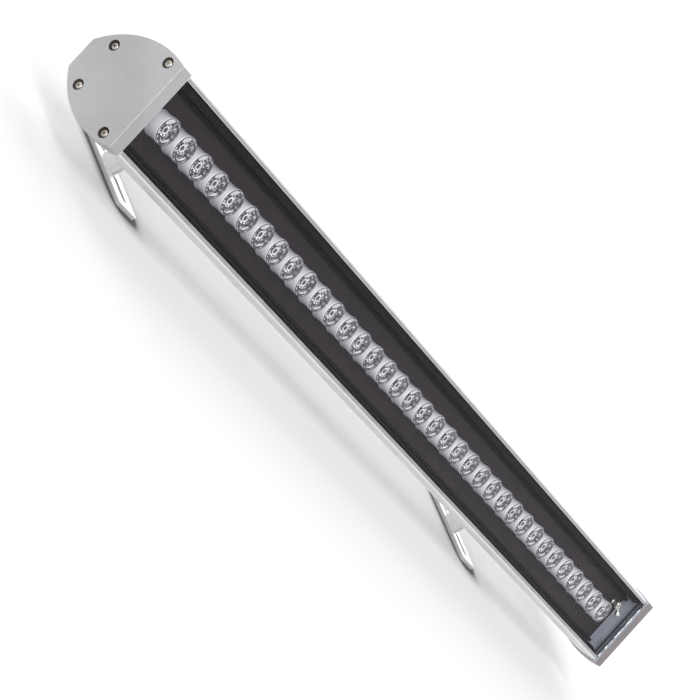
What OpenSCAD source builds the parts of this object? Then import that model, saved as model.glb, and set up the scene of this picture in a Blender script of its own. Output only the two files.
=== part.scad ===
// Outdoor wall washer light: a long sealed lamp that stands on two tilting feet.
// Millimetres. Z is up. The lamp's length runs along X and its light goes out to -Y.

/* [Lamp] */
// Length over both end caps
lamp_length = 1000; // [700:5:1400]
// Depth of the end cap from the glass side to the flat back
profile_depth = 68; // [66:0.5:76]
// Width of the end cap at the glass side
front_width = 68.6; // [64:0.2:76]
// Width of the end cap's flat back
back_width = 22.6; // [20:0.2:28]
// Radius of each bulged side
side_radius = 62.8; // [54:0.1:80]
// Angle of the light above level
tilt = 22; // [2:1:80]

/* [Housing] */
// Wall of the housing
wall = 2.2; // [1.6:0.1:3]
// Shelf that carries the light board
web_thickness = 2; // [1.5:0.1:3]
// How far the cap stands out past the housing all round
cap_overhang = 1.2; // [0.6:0.1:1.6]
// Depth of the fine line along each side, below the glass side
side_line_depth = 6.5; // [4:0.25:9]

/* [End caps] */
// Thickness of an end cap
cap_thickness = 12.3; // [10:0.1:15]
// Thickness of the seal behind a cap
gasket_thickness = 1.7; // [1:0.1:2.5]
// Depth of the upper cap screws below the glass side
upper_screw_depth = 11.4; // [10:0.1:14]
// Distance of the upper cap screws from the cap's edge
upper_screw_inset = 6.8; // [6:0.1:7.2]
// Height of the lower cap screws above the flat back
lower_screw_rise = 15.8; // [13:0.1:18]
// Distance of the lower cap screws from the cap's edge
lower_screw_inset = 7.7; // [6.5:0.1:8]
// Width of the round recess for a screw head
counterbore_d = 7.8; // [7:0.1:8.4]
// Depth of the round recess for a screw head
counterbore_depth = 2.6; // [2.2:0.1:3.2]

/* [Glass] */
// Width of the cap's edge beside the glass
lip_width = 4.4; // [3.8:0.1:5.4]
// Thickness of the glass
glass_thickness = 4; // [3:0.25:5]
// Width of the ledge under each long edge of the glass
ledge_width = 2.4; // [1.5:0.1:3]
// Thickness of the sealing tape under the glass
tape_thickness = 0.4; // [0.3:0.05:0.6]

/* [Lenses] */
// Distance from lens to lens
lens_pitch = 25.85; // [24:0.05:32]
// Width of a lens
lens_d = 20.4; // [18:0.1:21]
// Height of a lens above the light board
lens_height = 12; // [10:0.25:14]
// Air between the glass and the lenses
lens_air = 0.4; // [0.3:0.05:1]
// First lens from the near end of the lamp
row_start = 41.8; // [36:0.1:60]
// Least room past the last lens
row_end_room = 45; // [40:1:70]

/* [Light board] */
// Width of the board
board_width = 46; // [42:0.5:50]
// Thickness of the board
board_thickness = 1.6; // [1:0.1:2]

/* [Power supply] */
// Length of the power supply case
driver_length = 210; // [120:5:260]
// Width of the power supply case
driver_width = 24; // [22:1:28]
// Height of the power supply case
driver_height = 18; // [14:0.5:22]
// Far end of the power supply from the far end of the lamp
driver_inset = 190; // [170:5:300]

/* [Feet] */
// Near foot from the near end of the lamp
near_foot_inset = 118; // [60:1:250]
// Far foot from the far end of the lamp
far_foot_inset = 216.5; // [60:0.5:300]
// Width of a foot's strap
foot_width = 27; // [22:0.5:34]
// Length of a foot's strap
foot_length = 81; // [76:1:110]
// Thickness of a foot's strap
foot_thickness = 3; // [2.5:0.25:4]
// Width of a fixing slot
slot_width = 6.3; // [5:0.1:8]
// Metal left between a slot and the end of the strap
slot_end_margin = 7.25; // [5:0.25:12]
// Width of the foot's ear
ear_width = 17.8; // [17:0.1:17.9]
// Thickness of the foot's ear
ear_thickness = 3.5; // [2.5:0.25:5]
// Radius of the ear's round top
ear_eye_radius = 9; // [9:0.1:10.5]

/* [Tilting bracket] */
// Height of the tilt bolt above the floor
pivot_height = 19.7; // [19:0.1:26]
// How far the tilt bolt lies below the middle of the lamp's back
pivot_drop = 19.5; // [18.5:0.1:22]
// How far the tilt bolt lies behind the lamp's back
pivot_reach = 8.5; // [8.2:0.1:11]
// Length of the bracket's plate along the lamp
arm_length = 30; // [28:0.5:40]
// Width of the bracket's plate
arm_width = 21; // [16:0.5:21.5]
// Thickness of the bracket's plate
arm_plate = 3; // [2.5:0.25:4]
// Thickness of the bracket's ear
arm_ear_thickness = 4; // [3:0.25:5]
// Radius of the bracket's ear around the tilt bolt
arm_eye_radius = 8; // [7:0.1:8.1]

/* [Cable gland] */
// Bore of the gland's rubber seal
cable_d = 8; // [6:0.1:9]
// Thread of the gland
gland_thread_d = 16; // [15.5:0.1:17]

/* [Hidden] */
// Curves: facets of a full turn in previews
$fn = 64;
overrun = 1;
touch = 0.2;
running_gap = 0.05;
slide_gap = 0.1;

// Profile sizes that follow from the named ones
half_front = front_width / 2;
half_back = back_width / 2;
side_chord = norm([half_front - half_back, profile_depth]);
chord_rise = sqrt(pow(side_radius, 2) - pow(side_chord / 2, 2));
side_offset = chord_rise * profile_depth / side_chord - (half_front + half_back) / 2;
side_drop = profile_depth / 2 - chord_rise * (half_front - half_back) / side_chord;
glass_width = front_width - 2 * lip_width;
cavity_top = cap_overhang + glass_thickness + tape_thickness + wall;
tape_top = cap_overhang + glass_thickness;
ledge_top = tape_top + tape_thickness;
lens_top = tape_top + lens_air;
board_top = lens_top + lens_height;
board_bottom = board_top + board_thickness;
web_bottom = board_bottom + web_thickness;
back = profile_depth - cap_overhang;
housing_start = cap_thickness + gasket_thickness;
housing_length = lamp_length - 2 * housing_start;
glass_end_gap = 0.1;
glass_side_gap = 0.2;
side_line_width = 0.9;
side_line_cut = 0.5;

// Cap screws stand a named inset from the bulged side
lower_screw_depth = profile_depth - lower_screw_rise;
upper_screw_y = sqrt(pow(side_radius - upper_screw_inset, 2)
    - pow(upper_screw_depth - side_drop, 2)) - side_offset;
lower_screw_y = sqrt(pow(side_radius - lower_screw_inset, 2)
    - pow(lower_screw_depth - side_drop, 2)) - side_offset;

// Rails that hold the light board down
rail_thickness = 1.2;
rail_lip = 1;
rail_gap = 0.15;
board_end_gap = 6;

// Screw ports along the housing
upper_port_radius = 4;
lower_port_radius = 4.6;
port_bore_radius = 1.5;

// Cap screws
screw_radius = 1.45;
screw_hole_radius = 1.7;
screw_head_radius = 2.9;
screw_head_height = 2;
screw_grip = 14;
recess_width = 0.8;
recess_length = 3.4;
recess_depth = 1.1;
pocket_depth = 7.3;
pocket_rim = 1.8;
gasket_band = 3.4;
gasket_eye_radius = 3.6;

// Slot along the back that the clamp bolts slide in
mouth_width = 5.4;
lip_thickness = 1.8;
channel_width = 8.4;
channel_height = 3.9;
channel_wall = 2;

// Lens row
lens_count = floor((lamp_length - row_start - row_end_room) / lens_pitch) + 1;
lens_flange_height = 2.2;
lens_foot_radius = 4.2;
lens_foot_height = 1.2;
lens_cone_gap = 0.45;
lens_well_radius = 2.6;
lens_well_depth = 3.4;
lens_dimple_radius = 3;
lens_dimple_depth = 0.9;
holder_setback = 0.35;
holder_radius = lens_d / 2 - holder_setback;
holder_wall = 0.9;
lens_cone_radius = holder_radius - holder_wall - lens_cone_gap;
emitter_side = 3.5;
emitter_height = 0.7;
emitter_dome_radius = 1.6;

// Lead plug past the last lens
plug_from_end = 32;
plug_y = 14.2;
plug_radius = 2.4;
plug_height = 9;
plug_stem_radius = 1.1;
plug_stem_height = 3;
grommet_radius = 4.2;
grommet_neck_radius = 3.4;
grommet_rim = 1;

// Power supply, terminal block and leads
driver_foot = 9;
driver_foot_thickness = 2;
driver_screw_y = 7.5;
driver_screw_inset = 4.5;
driver_screw_head_radius = 2.8;
driver_screw_head_height = 2;
terminal_length = 32;
terminal_width = 12;
terminal_height = 12;
terminal_inset = 95;
terminal_hole_radius = 1.6;
terminal_hole_depth = 3;
terminal_hole_pitch = 9.5;
lead_radius = 1.1;
lead_pitch = 3.6;
lead_drop = 6;
thin_lead_radius = 0.8;
thin_lead_pitch = 2;
thin_lead_drop = 6.5;
thin_lead_margin = 3;

// Gland
gland_washer_thickness = 1.2;
gland_flange_height = 5;
gland_flange_flats = 21;
gland_sleeve_length = 5.8;
gland_sleeve_radius = 7.4;
gland_rise = 4.5;
gland_bore_wall = 2.4;
gland_bore_radius = gland_sleeve_radius - gland_bore_wall;
gland_seal_length = 7.5;
gland_seal_wall = 2.4;
gland_seal_radius = cable_d / 2 + gland_seal_wall;
gland_lip = 2.5;
gland_lip_gap = 0.9;
gland_lip_radius = cable_d / 2 + gland_lip_gap;
gland_depth = (web_bottom + back) / 2 - gland_rise;
gland_nut_gap = 0.2;
gland_nut_hex_length = 8;
gland_dome_radius = 9.4;
gland_dome_end_radius = 7.2;
locknut_flats = 21;
locknut_height = 4.5;
gland_tail = 1.2;
gland_reach = gland_washer_thickness + gland_flange_height + gland_sleeve_length
    + gland_seal_length + gland_lip;

// Breather plug
vent_y = 20;
vent_rise = 7;
vent_depth = gland_depth - vent_rise;
vent_head_radius = 4.8;
vent_head_height = 2.6;
vent_shank_radius = 3;
vent_shank_length = 6.5;

// Clamp bolts, washers and nuts
clamp_radius = 2.5;
clamp_hole_radius = 2.6;
clamp_head_flats = 8;
clamp_head_height = 3.5;
clamp_washer_radius = 5;
clamp_washer_thickness = 1;
clamp_nut_flats = 8;
clamp_nut_height = 4;
clamp_bolt_end = 1.4;
clamp_from_ear = 5.4;
clamp_from_end = 5.6;

// Tilt bolt, washers and nut
tilt_radius = 3;
tilt_head_flats = 10;
tilt_head_height = 4;
tilt_washer_radius = 6.2;
tilt_washer_thickness = 1.2;
friction_washer_radius = 7;
friction_washer_thickness = 0.8;
tilt_nut_flats = 10;
tilt_nut_height = 6;
tilt_bolt_end = 1.4;
foot_chamfer = 2;
slot_ear_gap = 0.85;
slot_start = ear_width / 2 + slot_ear_gap;
slot_end = foot_length / 2 - slot_end_margin;
slot_length = slot_end - slot_start;
slot_spacing = slot_start + slot_end;

// The tilt bolt's place, and the frame's origin: the middle of the base of the whole part
pivot_back = back + pivot_reach;
front_reach = (half_front - pivot_drop) * sin(tilt) + pivot_back * cos(tilt);
pivot_y = (front_reach - foot_length / 2) / 2;
mid_x = (lamp_length + gland_reach) / 2;

near_foot_x = near_foot_inset;
far_foot_x = lamp_length - far_foot_inset;
ear_face = ear_thickness / 2;
arm_face = ear_face + friction_washer_thickness + slide_gap;
arm_back = arm_face + arm_ear_thickness;
plug_x = lamp_length - plug_from_end;
driver_end = lamp_length - driver_inset;
driver_start = driver_end - driver_length;
terminal_end = lamp_length - terminal_inset;
terminal_start = terminal_end - terminal_length;

// Places: the lamp's own frame has x from the near end, y across and z out of the glass
module place_lamp() {
    translate([-mid_x, pivot_y, pivot_height])
        rotate([90 - tilt, 0, 0])
            translate([0, pivot_drop, pivot_back])
                children();
}

module place_foot(x) {
    translate([x - mid_x, pivot_y, 0])
        children();
}

module along(length) {
    rotate([90, 0, 90])
        linear_extrude(length)
            children();
}

module rod(radius, length) {
    rotate([0, 90, 0])
        cylinder(r = radius, h = length);
}

module far_side() {
    translate([lamp_length, 0, 0])
        mirror([1, 0, 0])
            children();
}

module hex(flats, height) {
    cylinder(d = flats / cos(30), h = height, $fn = 6);
}

module hex_rod(flats, length) {
    rotate([0, 90, 0])
        hex(flats, length);
}

module screw_places() {
    for (side = [-1, 1]) {
        translate([side * upper_screw_y, -upper_screw_depth])
            children();
        translate([side * lower_screw_y, -lower_screw_depth])
            children();
    }
}

// Outline of the lamp drawn in by an amount, between two depths below the glass side
module outline_between(inset, from, to) {
    intersection() {
        translate([-side_offset, -side_drop])
            circle(r = side_radius - inset, $fn = 128);
        translate([side_offset, -side_drop])
            circle(r = side_radius - inset, $fn = 128);
        translate([-side_radius, -to])
            square([2 * side_radius, to - from]);
    }
}

module outline(inset) {
    outline_between(inset, inset, profile_depth - inset);
}

// Housing: one extrusion with glass rebate, board shelf, screw ports and back slot
module housing_section() {
    channel_block = channel_width / 2 + channel_wall;
    channel_roof = back - lip_thickness - channel_height;
    difference() {
        union() {
            difference() {
                outline(cap_overhang);
                outline_between(cap_overhang + wall, cavity_top, back - wall);
            }
            outline_between(cap_overhang + wall / 2, board_bottom, web_bottom);
            translate([-channel_block, -back])
                square([2 * channel_block, back - channel_roof + channel_wall]);
            for (side = [-1, 1]) {
                intersection() {
                    translate([side * upper_screw_y, -upper_screw_depth])
                        circle(r = upper_port_radius);
                    outline(cap_overhang + wall / 2);
                }
                intersection() {
                    translate([side * lower_screw_y, -lower_screw_depth])
                        circle(r = lower_port_radius);
                    outline(cap_overhang + wall / 2);
                }
            }
            for (side = [0, 1])
                mirror([side, 0])
                    board_rail();
        }
        screw_places()
            circle(r = port_bore_radius);
        translate([-glass_width / 2 - glass_side_gap, -ledge_top])
            square([glass_width + 2 * glass_side_gap, ledge_top]);
        translate([ledge_width - glass_width / 2, -cavity_top - touch])
            square([glass_width - 2 * ledge_width, cavity_top]);
        translate([-channel_width / 2, -back + lip_thickness])
            square([channel_width, channel_height]);
        translate([-mouth_width / 2, -back - overrun])
            square([mouth_width, lip_thickness + overrun + touch]);
        for (side = [0, 1])
            mirror([side, 0])
                side_line();
    }
}

// The rail stands on the shelf and laps over the edge of the board
module board_rail() {
    rail_y = board_width / 2 + rail_gap;
    translate([rail_y, -board_bottom - touch])
        square([rail_thickness, board_thickness + rail_gap + rail_thickness + touch]);
    translate([rail_y - rail_lip - rail_gap, -board_top + rail_gap])
        square([rail_lip + rail_gap + rail_thickness, rail_thickness]);
}

// Fine line along the outside of the housing
module side_line() {
    line_y = sqrt(pow(side_radius - cap_overhang, 2) - pow(side_drop - side_line_depth, 2))
        - side_offset;
    translate([line_y - side_line_cut, -side_line_depth - side_line_width / 2])
        square([side_line_cut + overrun, side_line_width]);
}

module housing() {
    color([0.8, 0.81, 0.82])
        place_lamp()
            difference() {
                translate([housing_start, 0, 0])
                    along(housing_length)
                        housing_section();
                translate([plug_x, plug_y, -web_bottom - overrun])
                    cylinder(r = grommet_neck_radius, h = web_thickness + 2 * overrun);
                driver_screw_places()
                    translate([0, 0, -web_bottom - overrun])
                        cylinder(r = port_bore_radius, h = web_thickness + 2 * overrun);
            }
}

// End caps with a pocket behind and four recessed screw holes
module cap_solid() {
    difference() {
        along(cap_thickness)
            outline(0);
        translate([cap_thickness - pocket_depth, 0, 0])
            along(pocket_depth + overrun)
                cap_pocket();
        screw_holes();
    }
}

module cap_pocket() {
    difference() {
        outline_between(cap_overhang + wall + pocket_rim, web_bottom + pocket_rim,
            back - wall - pocket_rim);
        screw_places()
            circle(r = lower_port_radius);
    }
}

module screw_holes() {
    screw_axes() {
        translate([-overrun, 0, 0])
            rod(screw_hole_radius, cap_thickness + 2 * overrun);
        translate([-overrun, 0, 0])
            rod(counterbore_d / 2, counterbore_depth + overrun);
    }
}

module screw_axes() {
    for (side = [-1, 1]) {
        translate([0, side * upper_screw_y, -upper_screw_depth])
            children();
        translate([0, side * lower_screw_y, -lower_screw_depth])
            children();
    }
}

module cap_near() {
    color([0.74, 0.75, 0.76])
        place_lamp()
            cap_solid();
}

module cap_far() {
    color([0.74, 0.75, 0.76])
        place_lamp()
            difference() {
                far_side()
                    cap_solid();
                translate([lamp_length - cap_thickness - overrun, 0, -gland_depth])
                    rod(gland_thread_d / 2 + running_gap, cap_thickness + 2 * overrun);
                translate([lamp_length - cap_thickness - overrun, vent_y, -vent_depth])
                    rod(vent_shank_radius, cap_thickness + 2 * overrun);
            }
}

module gasket_solid() {
    translate([cap_thickness, 0, 0])
        along(gasket_thickness)
            difference() {
                union() {
                    difference() {
                        outline(cap_overhang);
                        outline(cap_overhang + gasket_band);
                    }
                    intersection() {
                        outline(cap_overhang + gasket_band / 2);
                        screw_places()
                            circle(r = gasket_eye_radius);
                    }
                }
                screw_places()
                    circle(r = screw_hole_radius);
            }
}

module gasket_near() {
    color([0.86, 0.87, 0.88])
        place_lamp()
            gasket_solid();
}

module gasket_far() {
    color([0.86, 0.87, 0.88])
        place_lamp()
            far_side()
                gasket_solid();
}

// Pan head screws with a cross recess
module cap_screw_set() {
    head_x = counterbore_depth - screw_head_height;
    screw_axes()
        difference() {
            union() {
                translate([head_x, 0, 0])
                    rod(screw_head_radius, screw_head_height);
                translate([counterbore_depth - touch, 0, 0])
                    rod(screw_radius, cap_thickness - counterbore_depth + gasket_thickness
                        + screw_grip);
            }
            for (turn = [0, 90])
                rotate([turn, 0, 0])
                    translate([head_x - overrun, -recess_length / 2, -recess_width / 2])
                        cube([recess_depth + overrun, recess_length, recess_width]);
        }
}

module cap_screws_near() {
    color([0.68, 0.69, 0.7])
        place_lamp()
            cap_screw_set();
}

module cap_screws_far() {
    color([0.68, 0.69, 0.7])
        place_lamp()
            far_side()
                cap_screw_set();
}

// Glass on its sealing tape
module glass() {
    color([0.75, 0.8, 0.82, 0.35])
        place_lamp()
            translate([housing_start + glass_end_gap, -glass_width / 2, -tape_top])
                cube([housing_length - 2 * glass_end_gap, glass_width, glass_thickness]);
}

module glass_tape() {
    tape_length = housing_length - 2 * glass_end_gap;
    color([0.06, 0.06, 0.06])
        place_lamp()
            translate([housing_start + glass_end_gap, 0, -ledge_top])
                linear_extrude(tape_thickness)
                    difference() {
                        translate([0, -glass_width / 2])
                            square([tape_length, glass_width]);
                        translate([ledge_width, ledge_width - glass_width / 2])
                            square([tape_length - 2 * ledge_width, glass_width - 2 * ledge_width]);
                    }
}

// Light board with its emitters, lens holders and lenses
module led_board() {
    color([0.08, 0.08, 0.09])
        place_lamp()
            difference() {
                translate([housing_start + board_end_gap, -board_width / 2, -board_bottom])
                    cube([housing_length - 2 * board_end_gap, board_width, board_thickness]);
                translate([plug_x, plug_y, -board_bottom - overrun])
                    cylinder(r = grommet_neck_radius, h = board_thickness + 2 * overrun);
            }
}

module lens_places() {
    for (i = [0 : lens_count - 1])
        translate([row_start + i * lens_pitch, 0, -board_top])
            children();
}

module emitters() {
    color([0.95, 0.83, 0.3])
        place_lamp()
            lens_places()
                union() {
                    translate([-emitter_side / 2, -emitter_side / 2, 0])
                        cube([emitter_side, emitter_side, emitter_height]);
                    rotate_extrude()
                        emitter_dome();
                }
}

// Half section of the emitter's clear dome
module emitter_dome() {
    intersection() {
        translate([0, emitter_height])
            circle(r = emitter_dome_radius);
        translate([0, emitter_height / 2])
            square([emitter_dome_radius, emitter_height / 2 + emitter_dome_radius]);
    }
}

module lens_holders() {
    holder_height = lens_height - lens_flange_height;
    color([0.85, 0.86, 0.87])
        place_lamp()
            lens_places()
                difference() {
                    cylinder(r = holder_radius, h = holder_height);
                    translate([0, 0, -overrun])
                        cylinder(r = holder_radius - holder_wall, h = holder_height + 2 * overrun);
                }
}

module lenses() {
    color([0.9, 0.93, 0.95, 0.5])
        place_lamp()
            lens_places()
                rotate_extrude()
                    polygon([
                        [0, lens_foot_height + lens_well_depth],
                        [lens_well_radius, lens_foot_height + lens_well_depth],
                        [lens_well_radius, lens_foot_height],
                        [lens_foot_radius, lens_foot_height],
                        [lens_cone_radius, lens_height - lens_flange_height],
                        [lens_d / 2, lens_height - lens_flange_height],
                        [lens_d / 2, lens_height],
                        [lens_dimple_radius, lens_height],
                        [0, lens_height - lens_dimple_depth]
                    ]);
}

// Plug of the light board's leads, in a grommet past the last lens
module lead_grommet() {
    color([0.15, 0.15, 0.15])
        place_lamp()
            translate([plug_x, plug_y, 0])
                difference() {
                    union() {
                        translate([0, 0, -web_bottom])
                            cylinder(r = grommet_neck_radius, h = board_thickness + web_thickness
                                + grommet_rim / 2);
                        translate([0, 0, -board_top])
                            cylinder(r = grommet_radius, h = grommet_rim);
                    }
                    translate([0, 0, -web_bottom - overrun])
                        cylinder(r = plug_radius, h = board_thickness + web_thickness
                            + grommet_rim + 2 * overrun);
                }
}

module lead_plug() {
    color([0.7, 0.8, 0.76])
        place_lamp()
            translate([plug_x, plug_y, -web_bottom]) {
                cylinder(r = plug_radius, h = plug_height);
                cylinder(r = plug_stem_radius, h = plug_height + plug_stem_height);
            }
}

// Power supply under the shelf
module driver_screw_places() {
    for (x = [driver_start - driver_foot + driver_screw_inset,
              driver_end + driver_foot - driver_screw_inset], side = [-1, 1])
        translate([x, side * driver_screw_y, 0])
            children();
}

module driver() {
    color([0.6, 0.61, 0.63])
        place_lamp()
            difference() {
                union() {
                    translate([driver_start, -driver_width / 2, -web_bottom - driver_height])
                        cube([driver_length, driver_width, driver_height]);
                    translate([driver_start - driver_foot, -driver_width / 2,
                               -web_bottom - driver_foot_thickness])
                        cube([driver_length + 2 * driver_foot, driver_width,
                              driver_foot_thickness]);
                }
                driver_screw_places()
                    translate([0, 0, -web_bottom - driver_foot_thickness - overrun])
                        cylinder(r = screw_hole_radius, h = driver_foot_thickness + 2 * overrun);
            }
}

module driver_screws() {
    screw_base = -web_bottom - driver_foot_thickness;
    color([0.68, 0.69, 0.7])
        place_lamp()
            driver_screw_places()
                difference() {
                    union() {
                        translate([0, 0, screw_base - driver_screw_head_height])
                            cylinder(r = driver_screw_head_radius, h = driver_screw_head_height);
                        translate([0, 0, screw_base - touch])
                            cylinder(r = screw_radius, h = driver_foot_thickness + web_thickness);
                    }
                    translate([-recess_length / 2, -recess_width / 2,
                               screw_base - driver_screw_head_height - overrun])
                        cube([recess_length, recess_width, recess_depth + overrun]);
                }
}

// Terminal block for the supply, with three leads from the power supply
module terminal_block() {
    color([0.85, 0.84, 0.78])
        place_lamp()
            difference() {
                translate([terminal_start, -terminal_width / 2, -web_bottom - terminal_height])
                    cube([terminal_length, terminal_width, terminal_height]);
                for (i = [-1, 0, 1])
                    translate([(terminal_start + terminal_end) / 2 + i * terminal_hole_pitch, 0,
                               -web_bottom - terminal_height - overrun])
                        cylinder(r = terminal_hole_radius, h = terminal_hole_depth + overrun);
            }
}

module supply_leads() {
    color([0.35, 0.2, 0.12])
        place_lamp()
            for (i = [-1, 0, 1])
                translate([driver_end, i * lead_pitch, -web_bottom - lead_drop])
                    rod(lead_radius, terminal_start - driver_end);
}

module led_leads() {
    start_y = driver_width / 2 - thin_lead_margin;
    color([0.7, 0.1, 0.1])
        place_lamp()
            translate([0, 0, -web_bottom - thin_lead_drop])
                for (side = [-1, 1])
                    led_lead(plug_x - side * thin_lead_pitch / 2,
                        start_y + side * thin_lead_pitch / 2);
}

// One thin lead: along the lamp, across, and up into the plug
module led_lead(turn_x, y) {
    translate([driver_end, y, 0])
        rod(thin_lead_radius, turn_x - driver_end);
    translate([turn_x, y, 0])
        sphere(r = thin_lead_radius);
    translate([turn_x, y, 0])
        rotate([-90, 0, 0])
            cylinder(r = thin_lead_radius, h = plug_y - y);
    translate([turn_x, plug_y, 0])
        sphere(r = thin_lead_radius);
    translate([turn_x, plug_y, 0])
        cylinder(r = thin_lead_radius, h = thin_lead_drop);
}

// Cable gland through the far cap
module gland_axis(x) {
    place_lamp()
        translate([lamp_length + x, 0, -gland_depth])
            children();
}

module gland_washer() {
    color([0.1, 0.1, 0.1])
        gland_axis(0)
            difference() {
                rod(gland_flange_flats / 2, gland_washer_thickness);
                translate([-overrun, 0, 0])
                    rod(gland_thread_d / 2, gland_washer_thickness + 2 * overrun);
            }
}

module gland_body() {
    wall_left = cap_thickness - pocket_depth;
    color([0.72, 0.7, 0.66])
        gland_axis(gland_washer_thickness)
            difference() {
                union() {
                    hex_rod(gland_flange_flats, gland_flange_height);
                    rod(gland_sleeve_radius, gland_flange_height + gland_sleeve_length);
                    translate([-gland_washer_thickness - wall_left - locknut_height - gland_tail,
                               0, 0])
                        rod(gland_thread_d / 2, gland_washer_thickness + wall_left
                            + locknut_height + gland_tail + gland_flange_height / 2);
                }
                translate([-gland_washer_thickness - cap_thickness, 0, 0])
                    rod(gland_bore_radius, 2 * cap_thickness + gland_reach);
            }
}

module gland_locknut() {
    color([0.72, 0.7, 0.66])
        gland_axis(pocket_depth - cap_thickness - locknut_height)
            difference() {
                hex_rod(locknut_flats, locknut_height);
                translate([-overrun, 0, 0])
                    rod(gland_thread_d / 2, locknut_height + 2 * overrun);
            }
}

module gland_seal() {
    color([0.12, 0.12, 0.12])
        gland_axis(gland_washer_thickness + gland_flange_height + gland_sleeve_length)
            difference() {
                rod(gland_seal_radius, gland_seal_length);
                translate([-overrun, 0, 0])
                    rod(cable_d / 2, gland_seal_length + 2 * overrun);
            }
}

module gland_nut() {
    nut_length = gland_sleeve_length + gland_seal_length + gland_lip - gland_nut_gap;
    seal_start = gland_sleeve_length - gland_nut_gap;
    color([0.72, 0.7, 0.66])
        gland_axis(gland_washer_thickness + gland_flange_height + gland_nut_gap)
            difference() {
                union() {
                    hex_rod(gland_flange_flats, gland_nut_hex_length);
                    rotate([0, 90, 0])
                        rotate_extrude()
                            polygon([
                                [0, 0],
                                [gland_dome_radius, 0],
                                [gland_dome_radius, nut_length - gland_lip],
                                [gland_dome_end_radius, nut_length],
                                [0, nut_length]
                            ]);
                }
                translate([-overrun, 0, 0])
                    rod(gland_sleeve_radius + running_gap, seal_start + overrun);
                rod(gland_seal_radius + running_gap, nut_length - gland_lip);
                rod(gland_lip_radius, nut_length + overrun);
            }
}

// Breather plug of the far cap
module vent_plug() {
    color([0.1, 0.1, 0.11])
        place_lamp()
            translate([lamp_length, vent_y, -vent_depth]) {
                rod(vent_head_radius, vent_head_height);
                translate([-vent_shank_length, 0, 0])
                    rod(vent_shank_radius, vent_shank_length + vent_head_height / 2);
            }
}

// Bracket on the lamp's back: a plate with an ear that reaches down to the tilt bolt
function tangent_point(from, centre, radius) =
    let (d = centre - from, reach = norm(d), swing = asin(radius / reach),
         heading = atan2(d[1], d[0]) + swing, run = sqrt(reach * reach - radius * radius))
    from + run * [cos(heading), sin(heading)];

module arm_ear_section() {
    centre = [-pivot_drop, -pivot_back];
    heel = [arm_width / 2, -back - slide_gap - arm_plate];
    tip = tangent_point(heel, centre, arm_eye_radius);
    polygon([
        [arm_width / 2, -back - slide_gap],
        [-arm_width / 2, -back - slide_gap],
        [-pivot_drop, -pivot_back + arm_eye_radius],
        centre,
        tip,
        heel
    ]);
    translate(centre)
        circle(r = arm_eye_radius);
}

module clamp_places(x) {
    for (place = [arm_back + clamp_from_ear, arm_face + arm_length - clamp_from_end])
        translate([x + place, 0, 0])
            children();
}

module arm(x) {
    color([0.8, 0.81, 0.82])
        place_lamp()
            difference() {
                union() {
                    translate([x + arm_face, 0, 0])
                        along(arm_ear_thickness)
                            arm_ear_section();
                    translate([x + arm_face, -arm_width / 2, -back - slide_gap - arm_plate])
                        cube([arm_length, arm_width, arm_plate]);
                }
                translate([x, -pivot_drop, -pivot_back])
                    rod(tilt_radius + running_gap, arm_length);
                clamp_places(x)
                    translate([0, 0, -back - slide_gap - arm_plate - overrun])
                        cylinder(r = clamp_hole_radius, h = arm_plate + 2 * overrun);
            }
}

module clamp_bolts(x) {
    grip = lip_thickness + arm_plate + clamp_washer_thickness + clamp_nut_height
        + clamp_bolt_end + 2 * slide_gap;
    color([0.68, 0.69, 0.7])
        place_lamp()
            clamp_places(x)
                translate([0, 0, -back + lip_thickness + slide_gap]) {
                    hex(clamp_head_flats, clamp_head_height);
                    translate([0, 0, -grip])
                        cylinder(r = clamp_radius, h = grip + touch);
                }
}

module clamp_washers(x) {
    color([0.75, 0.76, 0.77])
        place_lamp()
            clamp_places(x)
                translate([0, 0, -back - slide_gap - arm_plate - clamp_washer_thickness])
                    difference() {
                        cylinder(r = clamp_washer_radius, h = clamp_washer_thickness);
                        translate([0, 0, -overrun])
                            cylinder(r = clamp_hole_radius, h = clamp_washer_thickness
                                + 2 * overrun);
                    }
}

module clamp_nuts(x) {
    color([0.68, 0.69, 0.7])
        place_lamp()
            clamp_places(x)
                translate([0, 0, -back - slide_gap - arm_plate - clamp_washer_thickness
                           - clamp_nut_height])
                    difference() {
                        hex(clamp_nut_flats, clamp_nut_height);
                        translate([0, 0, -overrun])
                            cylinder(r = clamp_radius, h = clamp_nut_height + 2 * overrun);
                    }
}

// Foot: a slotted strap with an upright ear for the tilt bolt
module strap_outline() {
    w = foot_width / 2;
    l = foot_length / 2;
    polygon([
        [-w + foot_chamfer, -l], [w - foot_chamfer, -l],
        [w, -l + foot_chamfer], [w, l - foot_chamfer],
        [w - foot_chamfer, l], [-w + foot_chamfer, l],
        [-w, l - foot_chamfer], [-w, -l + foot_chamfer]
    ]);
}

module slot_outline() {
    run = slot_length - slot_width;
    translate([-slot_width / 2, -run / 2])
        square([slot_width, run]);
    for (end = [-1, 1])
        translate([0, end * run / 2])
            circle(d = slot_width);
}

module foot(x) {
    color([0.85, 0.86, 0.87])
        place_foot(x)
            difference() {
                union() {
                    linear_extrude(foot_thickness)
                        difference() {
                            strap_outline();
                            for (end = [-1, 1])
                                translate([0, end * slot_spacing / 2])
                                    slot_outline();
                        }
                    translate([-ear_face, -ear_width / 2, foot_thickness / 2])
                        cube([ear_thickness, ear_width, pivot_height - foot_thickness / 2]);
                    translate([-ear_face, 0, pivot_height])
                        rod(ear_eye_radius, ear_thickness);
                }
                translate([-ear_thickness, 0, pivot_height])
                    rod(tilt_radius + running_gap, 2 * ear_thickness);
            }
}

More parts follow.
